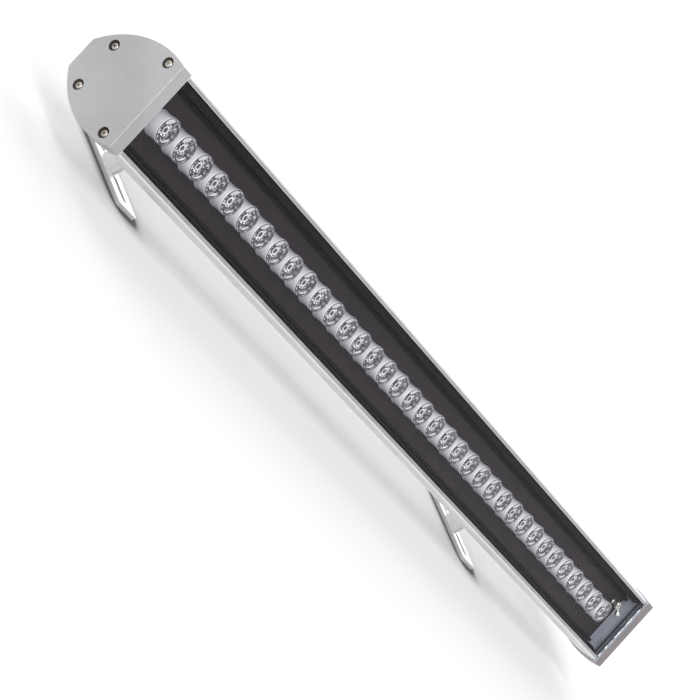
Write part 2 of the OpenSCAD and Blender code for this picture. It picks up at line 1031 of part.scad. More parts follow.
module tilt_bolt(x) {
    shank = ear_thickness + friction_washer_thickness + arm_ear_thickness + 2 * slide_gap
        + 2 * tilt_washer_thickness + tilt_nut_height + tilt_bolt_end;
    color([0.68, 0.69, 0.7])
        place_foot(x)
            translate([-ear_face - tilt_washer_thickness, 0, pivot_height]) {
                translate([-tilt_head_height, 0, 0])
                    hex_rod(tilt_head_flats, tilt_head_height);
                translate([-touch, 0, 0])
                    rod(tilt_radius, shank + touch);
            }
}

module ring(radius, thickness) {
    difference() {
        rod(radius, thickness);
        translate([-overrun, 0, 0])
            rod(tilt_radius + running_gap, thickness + 2 * overrun);
    }
}

module tilt_washers(x) {
    color([0.75, 0.76, 0.77])
        place_foot(x) {
            translate([-ear_face - tilt_washer_thickness, 0, pivot_height])
                ring(tilt_washer_radius, tilt_washer_thickness);
            translate([arm_back + slide_gap, 0, pivot_height])
                ring(tilt_washer_radius, tilt_washer_thickness);
        }
}

module friction_washer(x) {
    color([0.2, 0.2, 0.21])
        place_foot(x)
            translate([ear_face, 0, pivot_height])
                ring(friction_washer_radius, friction_washer_thickness);
}

module tilt_nut(x) {
    color([0.68, 0.69, 0.7])
        place_foot(x)
            translate([arm_back + slide_gap + tilt_washer_thickness, 0, pivot_height])
                difference() {
                    hex_rod(tilt_nut_flats, tilt_nut_height);
                    translate([-overrun, 0, 0])
                        rod(tilt_radius, tilt_nut_height + 2 * overrun);
                }
}

module arm_near() { arm(near_foot_x); }
module arm_far() { arm(far_foot_x); }
module clamp_bolts_near() { clamp_bolts(near_foot_x); }
module clamp_bolts_far() { clamp_bolts(far_foot_x); }
module clamp_washers_near() { clamp_washers(near_foot_x); }
module clamp_washers_far() { clamp_washers(far_foot_x); }
module clamp_nuts_near() { clamp_nuts(near_foot_x); }
module clamp_nuts_far() { clamp_nuts(far_foot_x); }
module foot_near() { foot(near_foot_x); }
module foot_far() { foot(far_foot_x); }
module tilt_bolt_near() { tilt_bolt(near_foot_x); }
module tilt_bolt_far() { tilt_bolt(far_foot_x); }
module tilt_washers_near() { tilt_washers(near_foot_x); }
module tilt_washers_far() { tilt_washers(far_foot_x); }
module friction_washer_near() { friction_washer(near_foot_x); }
module friction_washer_far() { friction_washer(far_foot_x); }
module tilt_nut_near() { tilt_nut(near_foot_x); }
module tilt_nut_far() { tilt_nut(far_foot_x); }

housing();
cap_near();
cap_far();
gasket_near();
gasket_far();
cap_screws_near();
cap_screws_far();
glass();
glass_tape();
led_board();
emitters();
lens_holders();
lenses();
lead_grommet();
lead_plug();
driver();
driver_screws();
terminal_block();
supply_leads();
led_leads();
gland_body();
gland_washer();
gland_locknut();
gland_nut();
gland_seal();
vent_plug();
arm_near();
clamp_bolts_near();
clamp_washers_near();
clamp_nuts_near();
foot_near();
tilt_bolt_near();
tilt_washers_near();
friction_washer_near();
tilt_nut_near();
arm_far();
clamp_bolts_far();
clamp_washers_far();
clamp_nuts_far();
foot_far();
tilt_bolt_far();
tilt_washers_far();
friction_washer_far();
tilt_nut_far();
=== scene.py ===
from math import atan2, degrees, radians
from random import Random

import bpy
from mathutils import Matrix, Vector


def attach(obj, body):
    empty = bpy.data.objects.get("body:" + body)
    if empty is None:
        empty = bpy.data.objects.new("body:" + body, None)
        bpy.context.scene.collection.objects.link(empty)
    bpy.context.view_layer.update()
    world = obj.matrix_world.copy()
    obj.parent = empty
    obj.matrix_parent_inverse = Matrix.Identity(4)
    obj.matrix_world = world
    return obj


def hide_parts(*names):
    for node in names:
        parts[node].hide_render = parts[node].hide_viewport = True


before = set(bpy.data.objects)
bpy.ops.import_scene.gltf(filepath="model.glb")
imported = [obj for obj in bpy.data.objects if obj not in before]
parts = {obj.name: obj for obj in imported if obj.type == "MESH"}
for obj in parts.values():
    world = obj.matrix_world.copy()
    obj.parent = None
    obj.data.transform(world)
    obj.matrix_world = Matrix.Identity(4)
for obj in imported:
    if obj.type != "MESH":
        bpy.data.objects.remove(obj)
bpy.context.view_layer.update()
scene = bpy.context.scene
mm = 0.001
print("frame loaded")

# The lamp's own axes: x from the near end, y across, z out of the glass; the same as in the part's source
lampPlace = {"tilt": 22, "origin": (-0.511, -0.0450816, 0.065988)}
lampMatrix = (Matrix.Translation(lampPlace["origin"])
              @ Matrix.Rotation(radians(90 - lampPlace["tilt"]), 4, "X"))


def clearSelection():
    if bpy.context.object and bpy.context.object.mode != "OBJECT":
        bpy.ops.object.mode_set(mode="OBJECT")
    bpy.ops.object.select_all(action="DESELECT")


def pick(obj):
    clearSelection()
    obj.select_set(True)
    bpy.context.view_layer.objects.active = obj


def settle(obj):  # place, turn and size go into the mesh
    pick(obj)
    bpy.ops.object.transform_apply(location=True, rotation=True, scale=True)


def intoLamp(obj):
    settle(obj)
    obj.matrix_world = lampMatrix
    settle(obj)


def addModifier(obj, kind, **values):
    modifier = obj.modifiers.new(kind.title(), kind)
    for name, value in values.items():
        setattr(modifier, name, value)
    pick(obj)
    bpy.ops.object.modifier_apply(modifier=modifier.name)


def smooth(obj, angle=30):
    pick(obj)
    bpy.ops.object.shade_smooth_by_angle(angle=radians(angle))


def useMaterial(obj, *materials):
    obj.data.materials.clear()
    for material in materials:
        obj.data.materials.append(material)


# Materials, each with its own grain, patches and wear; some also carry painted light or shade, noted where they are
# made

def addNode(tree, kind, **values):
    node = tree.nodes.new("ShaderNode" + kind)
    for name, value in values.items():
        setattr(node, name, value)
    return node


def grainCoords(tree, scale):  # Object coordinates turned so that x runs along the lamp
    coords = addNode(tree, "TexCoord")
    mapping = addNode(tree, "Mapping", vector_type="TEXTURE")
    mapping.inputs["Location"].default_value = lampPlace["origin"]
    mapping.inputs["Rotation"].default_value = (radians(90 - lampPlace["tilt"]), 0, 0)
    tree.links.new(coords.outputs["Object"], mapping.inputs["Vector"])
    stretch = addNode(tree, "Mapping")
    stretch.inputs["Scale"].default_value = scale
    tree.links.new(mapping.outputs["Vector"], stretch.inputs["Vector"])
    return stretch.outputs["Vector"]


def noise(tree, vector, scale, detail=3.0, roughness=0.55):
    node = addNode(tree, "TexNoise")
    node.inputs["Scale"].default_value = scale
    node.inputs["Detail"].default_value = detail
    node.inputs["Roughness"].default_value = roughness
    tree.links.new(vector, node.inputs["Vector"])
    return node.outputs["Fac"]


def ramp(tree, fac, low, high, lowColour, highColour):
    node = addNode(tree, "ValToRGB")
    node.color_ramp.elements[0].position = low
    node.color_ramp.elements[1].position = high
    node.color_ramp.elements[0].color = (*lowColour, 1)
    node.color_ramp.elements[1].color = (*highColour, 1)
    tree.links.new(fac, node.inputs["Fac"])
    return node.outputs["Color"]


def spread(tree, fac, low, high):
    node = addNode(tree, "MapRange")
    node.inputs["From Min"].default_value = 0.3
    node.inputs["From Max"].default_value = 0.7
    node.inputs["To Min"].default_value = low
    node.inputs["To Max"].default_value = high
    tree.links.new(fac, node.inputs["Value"])
    return node.outputs["Result"]


def finish(name, look):
    material = bpy.data.materials.new(name)
    material.use_nodes = True
    tree = material.node_tree
    shader = tree.nodes["Principled BSDF"]
    shader.inputs["Metallic"].default_value = look.get("metal", 0)
    shader.inputs["IOR"].default_value = look.get("ior", 1.45)
    shader.inputs["Specular IOR Level"].default_value = look.get("specular", 0.5)
    fine = grainCoords(tree, look.get("stretch", (1, 1, 1)))
    plain = grainCoords(tree, (1, 1, 1))
    grain = noise(tree, fine, look["grain"], 4)
    patches = noise(tree, plain, look.get("patches", 14), 2)
    mottled = ramp(tree, patches, 0.35, 0.65, look["colour"], look["shade"])
    speck = addNode(tree, "MixRGB", blend_type="MULTIPLY")
    speck.inputs["Fac"].default_value = look.get("speck", 0.12)
    tree.links.new(mottled, speck.inputs["Color1"])
    tree.links.new(ramp(tree, grain, 0.3, 0.7, (0.55, 0.55, 0.55), (1, 1, 1)), speck.inputs["Color2"])
    tree.links.new(speck.outputs["Color"], shader.inputs["Base Color"])
    tree.links.new(spread(tree, grain, *look["rough"]), shader.inputs["Roughness"])
    bump = addNode(tree, "Bump")
    bump.inputs["Strength"].default_value = look.get("bump", 0.2)
    bump.inputs["Distance"].default_value = look.get("depth", 0.00002)
    tree.links.new(grain, bump.inputs["Height"])
    tree.links.new(bump.outputs["Normal"], shader.inputs["Normal"])
    # painted glow: an emission in the surface's own colour, on parts that are no lamp
    if "paintedGlow" in look:
        shader.inputs["Emission Color"].default_value = (*look["colour"], 1)
        shader.inputs["Emission Strength"].default_value = look["paintedGlow"]
    if "coat" in look:
        shader.inputs["Coat Weight"].default_value = look["coat"]
    if "through" in look:
        shader.inputs["Transmission Weight"].default_value = look["through"]
    return material


def frosted(material, look):  # a frosted clear wall lets the dark through where it is seen edge on
    tree = material.node_tree
    shader = tree.nodes["Principled BSDF"]
    out = tree.nodes["Material Output"]
    edge = addNode(tree, "LayerWeight")
    edge.inputs["Blend"].default_value = 0.5
    narrow = addNode(tree, "Math", operation="POWER")
    narrow.inputs[1].default_value = look["narrow"]
    tree.links.new(edge.outputs["Facing"], narrow.inputs[0])
    through = addNode(tree, "BsdfTransparent")
    through.inputs["Color"].default_value = (*look["tint"], 1)
    mix = addNode(tree, "MixShader")
    tree.links.new(narrow.outputs["Value"], mix.inputs["Fac"])
    tree.links.new(shader.outputs["BSDF"], mix.inputs[1])
    tree.links.new(through.outputs["BSDF"], mix.inputs[2])
    tree.links.new(mix.outputs["Shader"], out.inputs["Surface"])


def clearFinish(name, look):  # clear sheet or moulding: light goes straight through, the surface shines
    material = bpy.data.materials.new(name)
    material.use_nodes = True
    tree = material.node_tree
    tree.nodes.remove(tree.nodes["Principled BSDF"])
    out = tree.nodes["Material Output"]
    through = addNode(tree, "BsdfTransparent")
    through.inputs["Color"].default_value = (*look["tint"], 1)
    shine = addNode(tree, "BsdfGlossy")
    shine.inputs["Color"].default_value = (*look.get("shine", (1, 1, 1)), 1)
    shine.inputs["Roughness"].default_value = look["rough"]
    fresnel = addNode(tree, "Fresnel")
    fresnel.inputs["IOR"].default_value = look["ior"]
    vector = grainCoords(tree, (1, 1, 1))
    bump = addNode(tree, "Bump")
    bump.inputs["Strength"].default_value = look["bump"]
    bump.inputs["Distance"].default_value = look["depth"]
    tree.links.new(noise(tree, vector, look["grain"], 2), bump.inputs["Height"])
    tree.links.new(bump.outputs["Normal"], shine.inputs["Normal"])
    tree.links.new(bump.outputs["Normal"], fresnel.inputs["Normal"])
    strength = addNode(tree, "Math", operation="MULTIPLY")
    strength.inputs[1].default_value = look.get("strength", 1)
    tree.links.new(fresnel.outputs["Fac"], strength.inputs[0])
    geometry = addNode(tree, "NewGeometry")
    outside = addNode(tree, "Math", operation="SUBTRACT")
    outside.inputs[0].default_value = 1
    tree.links.new(geometry.outputs["Backfacing"], outside.inputs[1])
    outer = addNode(tree, "Math", operation="MULTIPLY")
    tree.links.new(strength.outputs["Value"], outer.inputs[0])
    tree.links.new(outside.outputs["Value"], outer.inputs[1])
    mix = addNode(tree, "MixShader")
    tree.links.new(outer.outputs["Value"], mix.inputs["Fac"])
    tree.links.new(through.outputs["BSDF"], mix.inputs[1])
    tree.links.new(shine.outputs["BSDF"], mix.inputs[2])
    tree.links.new(mix.outputs["Shader"], out.inputs["Surface"])
    return material


satinAluminium = finish("satinAluminium", {
    "colour": (0.83, 0.835, 0.84), "shade": (0.77, 0.775, 0.78), "metal": 0.45, "rough": (0.32, 0.45),
    "grain": 900, "stretch": (0.02, 1, 1), "speck": 0.08, "bump": 0.15})
capAluminium = finish("capAluminium", {
    "colour": (0.53, 0.53, 0.54), "shade": (0.47, 0.47, 0.48), "metal": 0.8, "rough": (0.36, 0.55),
    "grain": 620, "speck": 0.34, "bump": 0.6, "depth": 0.00005})
# painted shade: a darker, browner copy of the cap finish, for the far cap
shadedFarCapAluminium = finish("shadedFarCapAluminium", {
    "colour": (0.32, 0.285, 0.3), "shade": (0.26, 0.235, 0.245), "metal": 0.8, "rough": (0.36, 0.55),
    "grain": 620, "speck": 0.34, "bump": 0.6, "depth": 0.00005})
footAluminium = finish("footAluminium", {
    "colour": (0.97, 0.97, 0.97), "shade": (0.92, 0.92, 0.93), "metal": 0.2, "rough": (0.25, 0.4),
    "grain": 1500, "speck": 0.1, "bump": 0.2})
stainless = finish("stainless", {
    "colour": (0.62, 0.58, 0.53), "shade": (0.5, 0.47, 0.43), "metal": 1, "rough": (0.16, 0.34),
    "grain": 1800, "speck": 0.15, "bump": 0.15})
recessShade = finish("recessShade", {
    "colour": (0.17, 0.155, 0.145), "shade": (0.12, 0.11, 0.1), "metal": 0.6, "rough": (0.4, 0.55),
    "grain": 1500, "speck": 0.2, "bump": 0.3})
darkLining = finish("darkLining", {
    "colour": (0.016, 0.013, 0.014), "shade": (0.013, 0.011, 0.012), "rough": (0.55, 0.65),
    "grain": 500, "speck": 0.06, "bump": 0.02, "specular": 0.06})
boardLook = {"colour": (0.031, 0.0245, 0.0295), "shade": (0.0265, 0.021, 0.0255), "rough": (0.5, 0.62),
             "grain": 800, "patches": 20, "speck": 0.08, "bump": 0.05, "specular": 0.15,
             "edge": (0.55, 0.56, 0.58), "halfWidth": 0.02296}
boardMask = finish("boardMask", boardLook)


def bareEdges(material, look):  # the mask stops at the board's cut sides, where the metal core shows
    tree = material.node_tree
    shader = tree.nodes["Principled BSDF"]
    split = addNode(tree, "SeparateXYZ")
    tree.links.new(grainCoords(tree, (1, 1, 1)), split.inputs["Vector"])
    across = addNode(tree, "Math", operation="ABSOLUTE")
    tree.links.new(split.outputs["Y"], across.inputs[0])
    bare = addNode(tree, "Math", operation="GREATER_THAN")
    bare.inputs[1].default_value = look["halfWidth"]
    tree.links.new(across.outputs["Value"], bare.inputs[0])
    mix = addNode(tree, "MixRGB")
    tree.links.new(bare.outputs["Value"], mix.inputs["Fac"])
    tree.links.new(shader.inputs["Base Color"].links[0].from_socket, mix.inputs["Color1"])
    mix.inputs["Color2"].default_value = (*look["edge"], 1)
    tree.links.new(mix.outputs["Color"], shader.inputs["Base Color"])


bareEdges(boardMask, boardLook)
paleSeal = finish("paleSeal", {
    "colour": (0.72, 0.73, 0.75), "shade": (0.64, 0.65, 0.67), "rough": (0.5, 0.65),
    "grain": 1600, "speck": 0.12, "bump": 0.25})
# a pale blue-grey finish for the caps' flat inner faces, lighter than the caps
paleInnerFace = finish("paleInnerFace", {
    "colour": (0.56, 0.6, 0.67), "shade": (0.44, 0.48, 0.55), "rough": (0.4, 0.55),
    "grain": 900, "patches": 40, "speck": 0.15, "bump": 0.2})
blackRubber = finish("blackRubber", {
    "colour": (0.03, 0.03, 0.03), "shade": (0.02, 0.02, 0.02), "rough": (0.5, 0.7),
    "grain": 1300, "speck": 0.3, "bump": 0.3})
blackPlastic = finish("blackPlastic", {
    "colour": (0.035, 0.035, 0.037), "shade": (0.025, 0.025, 0.027), "rough": (0.35, 0.5),
    "grain": 1700, "speck": 0.2, "bump": 0.25})
# painted light: the lens holders glow a little, standing for light scattered inside the milky plastic
milkyPlastic = finish("milkyPlastic", {
    "colour": (0.95, 0.95, 0.98), "shade": (0.9, 0.905, 0.94), "rough": (0.3, 0.45),
    "grain": 700, "speck": 0.06, "bump": 0.15, "paintedGlow": 0.24})


def turnedBands(material, look):  # faint turned rings, and painted shade that darkens the base towards the board
    tree = material.node_tree
    shader = tree.nodes["Principled BSDF"]
    split = addNode(tree, "SeparateXYZ")
    tree.links.new(grainCoords(tree, (1, 1, 1)), split.inputs["Vector"])
    turns = addNode(tree, "Math", operation="MULTIPLY")
    turns.inputs[1].default_value = 6.2832 / look["pitch"]
    tree.links.new(split.outputs["Z"], turns.inputs[0])
    wave = addNode(tree, "Math", operation="SINE")
    tree.links.new(turns.outputs["Value"], wave.inputs[0])
    rings = addNode(tree, "MapRange")
    rings.inputs["From Min"].default_value = -1
    rings.inputs["To Min"].default_value = look["groove"]
    tree.links.new(wave.outputs["Value"], rings.inputs["Value"])
    paintedBaseShade = addNode(tree, "MapRange")
    paintedBaseShade.inputs["From Min"].default_value = look["base"]
    paintedBaseShade.inputs["From Max"].default_value = look["top"]
    paintedBaseShade.inputs["To Min"].default_value = look["dark"]
    tree.links.new(split.outputs["Z"], paintedBaseShade.inputs["Value"])
    level = addNode(tree, "Math", operation="MULTIPLY")
    tree.links.new(rings.outputs["Result"], level.inputs[0])
    tree.links.new(paintedBaseShade.outputs["Result"], level.inputs[1])
    mix = addNode(tree, "MixRGB", blend_type="MULTIPLY")
    mix.inputs["Fac"].default_value = 1
    tree.links.new(shader.inputs["Base Color"].links[0].from_socket, mix.inputs["Color1"])
    tree.links.new(level.outputs["Value"], mix.inputs["Color2"])
    tree.links.new(mix.outputs["Color"], shader.inputs["Base Color"])


turnedBands(milkyPlastic, {"pitch": 0.0024, "groove": 0.86, "base": -0.0176, "top": -0.0095, "dark": 0.4})
frosted(milkyPlastic, {"narrow": 1.5, "tint": (0.2, 0.21, 0.23)})
rimPlastic = finish("rimPlastic", {
    "colour": (0.15, 0.15, 0.17), "shade": (0.1, 0.1, 0.12), "rough": (0.2, 0.35),
    "grain": 900, "speck": 0.1, "bump": 0.2})
# painted glints: near-white and near-black metal patches break the bead's reflection into bright dashes
sealBead = finish("sealBead", {
    "colour": (0.8, 0.82, 0.88), "shade": (0.06, 0.07, 0.1), "rough": (0.03, 0.12), "metal": 0.75,
    "grain": 260, "patches": 170, "speck": 0.3, "bump": 1, "depth": 0.0006, "specular": 1})
# painted shade: a dark copy of the seal, for the far end, where the near seal is pale
darkSeal = finish("darkSeal", {
    "colour": (0.2, 0.21, 0.25), "shade": (0.12, 0.13, 0.16), "rough": (0.15, 0.35),
    "grain": 400, "patches": 120, "speck": 0.3, "bump": 0.4, "specular": 0.8})
lipShadeStrip = finish("lipShadeStrip", {
    "colour": (0.42, 0.42, 0.44), "shade": (0.33, 0.33, 0.35), "rough": (0.3, 0.45),
    "grain": 400, "patches": 60, "speck": 0.25, "bump": 0.3, "stretch": (0.1, 1, 1)})
# painted glints: near-white and near-black metal patches give the clear plug white glints and dark spots
plugGel = finish("plugGel", {
    "colour": (1.0, 1.0, 0.96), "shade": (0.1, 0.14, 0.08), "rough": (0.02, 0.08), "metal": 0.6,
    "grain": 420, "patches": 330, "speck": 0.3, "bump": 0.8, "depth": 0.0004, "coat": 1})
nickelPlate = finish("nickelPlate", {
    "colour": (0.72, 0.69, 0.64), "shade": (0.63, 0.6, 0.56), "metal": 1, "rough": (0.2, 0.34),
    "grain": 1400, "speck": 0.1, "bump": 0.15})
galvanised = finish("galvanised", {
    "colour": (0.6, 0.61, 0.63), "shade": (0.5, 0.51, 0.53), "metal": 0.9, "rough": (0.3, 0.45),
    "grain": 500, "patches": 90, "speck": 0.15, "bump": 0.2})
creamPlastic = finish("creamPlastic", {
    "colour": (0.75, 0.73, 0.64), "shade": (0.7, 0.68, 0.58), "rough": (0.4, 0.55),
    "grain": 1500, "speck": 0.1, "bump": 0.2})
brownLead = finish("brownLead", {
    "colour": (0.16, 0.07, 0.04), "shade": (0.12, 0.05, 0.03), "rough": (0.4, 0.55),
    "grain": 1200, "speck": 0.15, "bump": 0.2})
redLead = finish("redLead", {
    "colour": (0.5, 0.03, 0.03), "shade": (0.42, 0.02, 0.02), "rough": (0.4, 0.55),
    "grain": 1200, "speck": 0.15, "bump": 0.2})
emitterGel = finish("emitterGel", {
    "colour": (0.7, 0.62, 0.3), "shade": (0.6, 0.52, 0.22), "rough": (0.15, 0.3),
    "grain": 1500, "speck": 0.1, "bump": 0.1})
mirrorFacets = finish("mirrorFacets", {
    "colour": (0.85, 0.85, 0.87), "shade": (0.5, 0.5, 0.52), "metal": 1, "rough": (0.04, 0.14),
    "grain": 900, "patches": 500, "speck": 0.3, "bump": 0.4, "depth": 0.0002})
# painted highlight: near-white glowing facets for the star of light in each lens and for the core's ring
paintedHighlightFacets = finish("paintedHighlightFacets", {
    "colour": (1.0, 1.0, 1.0), "shade": (0.96, 0.96, 0.98), "metal": 0.3, "rough": (0.12, 0.3), "paintedGlow": 0.26,
    "grain": 900, "patches": 500, "speck": 0.1, "bump": 0.4, "depth": 0.0002})
# painted shade: dark metal facets for the dark wedge in each lens; the core's dot and outer edge use them too
shadeFacets = finish("shadeFacets", {
    "colour": (0.13, 0.13, 0.145), "shade": (0.05, 0.05, 0.06), "metal": 1, "rough": (0.08, 0.2),
    "grain": 900, "patches": 500, "speck": 0.3, "bump": 0.3, "depth": 0.0002})
windowGlass = clearFinish("windowGlass", {
    "tint": (0.98, 0.975, 0.985), "rough": 0.02, "ior": 1.45, "bump": 0.02, "depth": 0.0001,
    "grain": 6, "strength": 0.25})
lensClear = clearFinish("lensClear", {
    "tint": (0.93, 0.95, 0.96), "rough": 0.05, "ior": 1.49, "bump": 0.5, "depth": 0.0005,
    "grain": 420, "strength": 0.9})


def refractingFinish(name, look):  # the front of a solid clear lens, with a moulded orange-peel face
    material = finish(name, look)
    shader = material.node_tree.nodes["Principled BSDF"]
    shader.inputs["Transmission Weight"].default_value = 1
    return material


lensFace = refractingFinish("lensFace", {
    "colour": (1.0, 1.0, 1.0), "shade": (0.96, 0.96, 0.98), "rough": (0.0, 0.03), "ior": 1.49,
    "grain": 330, "speck": 0.05, "bump": 0.35, "depth": 0.0004})
print("materials made")


# Parts that keep the frame's solids, with their edges rounded

def softened(node, name, width, body, slot, *materials, angle=32, segments=2):
    copy = parts[node].copy()
    copy.data = parts[node].data.copy()
    copy.name = name
    copy.data.name = name
    copy.parent = None
    for key in list(copy.keys()):
        del copy[key]
    scene.collection.objects.link(copy)
    copy.hide_render = copy.hide_viewport = False
    copy.matrix_world = Matrix.Identity(4)
    pick(copy)
    bpy.ops.object.mode_set(mode="EDIT")
    bpy.ops.mesh.select_all(action="SELECT")
    bpy.ops.mesh.remove_doubles(threshold=0.000004)
    bpy.ops.mesh.dissolve_limited(angle_limit=radians(1))
    bpy.ops.object.mode_set(mode="OBJECT")
    if width:
        addModifier(copy, "BEVEL", width=width * mm, segments=segments, limit_method="ANGLE",
                    angle_limit=radians(angle), harden_normals=True, use_clamp_overlap=True)
    smooth(copy, angle)
    addModifier(copy, "WEIGHTED_NORMAL", keep_sharp=True)
    useMaterial(copy, *materials)
    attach(copy, body)
    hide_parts(node)
    return copy


screwSpots = ((29.652, -11.4), (-29.652, -11.4), (16.776, -52.2), (-16.776, -52.2))  # across, out


def paleInside(obj, material, inner):  # the cap's flat face that looks into the chamber
    inverse = lampMatrix.inverted()
    obj.data.materials.append(material)
    for face in obj.data.polygons:
        spot = inverse @ face.center
        if abs(spot.x / mm - inner) < 0.3 and abs((inverse.to_3x3() @ face.normal).x) > 0.9:
            face.material_index = 1


def darkRecesses(obj, material, side):  # painted shade: the walls and floors of the screw recesses get a dark finish
    inverse = lampMatrix.inverted()
    obj.data.materials.append(material)
    for face in obj.data.polygons:
        spot = (inverse @ face.center) / mm
        depth = spot.x if side == "near" else 1000 - spot.x
        if 0.5 < depth < 2.75 and min((spot.yz - Vector(centre)).length for centre in screwSpots) < 4.1:
            face.material_index = 2


def darkenInside(obj, place):  # the chamber's walls above the light board are made near black
    inverse = lampMatrix.inverted()
    obj.data.materials.append(darkLining)
    last = len(obj.data.materials) - 1
    for face in obj.data.polygons:
        centre = inverse @ face.center
        normal = inverse.to_3x3() @ face.normal
        y, z = centre.y / mm, centre.z / mm
        if abs(y) < place["half"] and place["floor"] < z < place["rim"] and normal.z > -0.7:
            face.material_index = last


housingLook = {"edge": 0.25, "lining": {"half": 30.2, "floor": -21.5, "rim": -1.9}}
housing = softened("housing", "housingShell", housingLook["edge"], "lamp", "anodised_housing", satinAluminium)
darkenInside(housing, housingLook["lining"])

capLook = {"edge": 0.45, "inner": {"near": 12.3, "far": 987.7}}
# the far cap and far seal take the darker copies of the near ones' finishes: painted shade
for side in ("near", "far"):
    cap = softened("cap_" + side, side + "Cap", capLook["edge"], "lamp", "cap_grey",
                   capAluminium if side == "near" else shadedFarCapAluminium)
    paleInside(cap, paleInnerFace, capLook["inner"][side])
    darkRecesses(cap, recessShade, side)
    softened("gasket_" + side, side + "Seal", 0, "lamp", "silicone", paleSeal if side == "near" else darkSeal)
    bracket, stand = "bracket_" + side, "stand_" + side
    softened("arm_" + side, side + "Bracket", 0.3, bracket, "anodised_housing", satinAluminium)
    softened("clamp_bolts_" + side, side + "ClampBolts", 0.2, bracket, "stainless", stainless)
    softened("clamp_washers_" + side, side + "ClampWashers", 0.12, bracket, "stainless", stainless)
    softened("clamp_nuts_" + side, side + "ClampNuts", 0.25, bracket, "stainless", stainless)
    softened("foot_" + side, side + "Foot", 0.35, stand, "foot_aluminium", footAluminium)
    softened("tilt_bolt_" + side, side + "TiltBolt", 0.25, stand, "stainless", stainless)
    softened("tilt_washers_" + side, side + "TiltWashers", 0.12, stand, "stainless", stainless)
    softened("friction_washer_" + side, side + "FrictionWasher", 0.1, stand, "black_plastic", blackPlastic)
    softened("tilt_nut_" + side, side + "TiltNut", 0.3, stand, "stainless", stainless)

for node, material in {
        "glass_tape": darkLining, "led_board": boardMask, "emitters": emitterGel,
        "lead_grommet": blackRubber, "driver": galvanised, "driver_screws": stainless,
        "terminal_block": creamPlastic, "supply_leads": brownLead, "led_leads": redLead,
        "gland_washer": blackRubber, "gland_locknut": nickelPlate, "gland_seal": blackRubber,
        "lens_holders": milkyPlastic, "lenses": lensClear, "lead_plug": plugGel,
        "glass": windowGlass}.items():
    useMaterial(parts[node], material)
softened("gland_body", "glandBody", 0.2, "lamp", "nickel", nickelPlate)
softened("gland_nut", "glandNut", 0.3, "lamp", "nickel", nickelPlate)
softened("vent_plug", "ventPlug", 0.3, "lamp", "black_plastic", blackPlastic)
print("metal parts finished")


# The row of lenses: holder, faceted cup, ring of the core, front and rim

lensLook = {"pitch": 25.85, "start": 41.8, "count": 36, "top": -5.6, "board": -17.6,
            "sides": 32, "cupSides": 26}


def turned(name, rings, sides, place=(0, 0, 0), closeEnds=False):  # a ring drawn up through its radii
    clearSelection()
    radius, height = rings[0]
    bpy.ops.mesh.primitive_circle_add(vertices=sides, radius=radius * mm, fill_type="NOTHING",
                                      location=(place[0] * mm, place[1] * mm, (place[2] + height) * mm))
    obj = bpy.context.object
    obj.name = name
    obj.data.name = name
    bpy.ops.object.mode_set(mode="EDIT")
    bpy.ops.mesh.select_all(action="SELECT")
    if closeEnds:
        bpy.ops.mesh.edge_face_add()
    for nextRadius, nextHeight in rings[1:]:
        bpy.ops.mesh.extrude_region_move(
            TRANSFORM_OT_translate={"value": (0, 0, (nextHeight - height) * mm)})
        centre = (place[0] * mm, place[1] * mm, (place[2] + nextHeight) * mm)
        share = max(nextRadius, 0.001) / radius
        bpy.ops.transform.resize(value=(share, share, 1), center_override=centre)
        radius, height = max(nextRadius, 0.001), nextHeight
    bpy.ops.mesh.select_all(action="SELECT")
    bpy.ops.mesh.remove_doubles(threshold=0.000005)
    bpy.ops.mesh.normals_make_consistent(inside=False)
    bpy.ops.object.mode_set(mode="OBJECT")
    return obj


def inARow(obj):
    addModifier(obj, "ARRAY", count=lensLook["count"], use_relative_offset=False,
                use_constant_offset=True, constant_offset_displace=(lensLook["pitch"] * mm, 0, 0))


# painted highlight and painted shade: the sectors of the cup, in degrees around the lens, that get glowing white
# and dark facets
cupLook = {"bright": (84, 140), "shade": (-14, 44), "seed": 11, "mixed": (7, 4, 5),
           "brightShare": (1, 12, 0), "shadeShare": (2, 0, 9), "starFrom": 4.6, "dotWithin": 1.9}
lensSpot = (lensLook["start"], 0, lensLook["board"])
holder = turned("lensHolders", [
    (9.0, 0), (10.1, 0), (10.1, 0.9), (9.86, 1.6), (9.8, 2.6), (9.92, 3.5), (9.74, 4.4), (9.9, 5.3), (9.74, 6.2),
    (9.92, 7.1), (9.82, 8.0), (10.04, 8.9), (10.04, 9.7), (9.0, 9.7), (9.0, 0)], lensLook["sides"], lensSpot)
holder.data.materials.append(milkyPlastic)
inARow(holder)
intoLamp(holder)
smooth(holder, 48)
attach(holder, "lamp")
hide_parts("lens_holders")

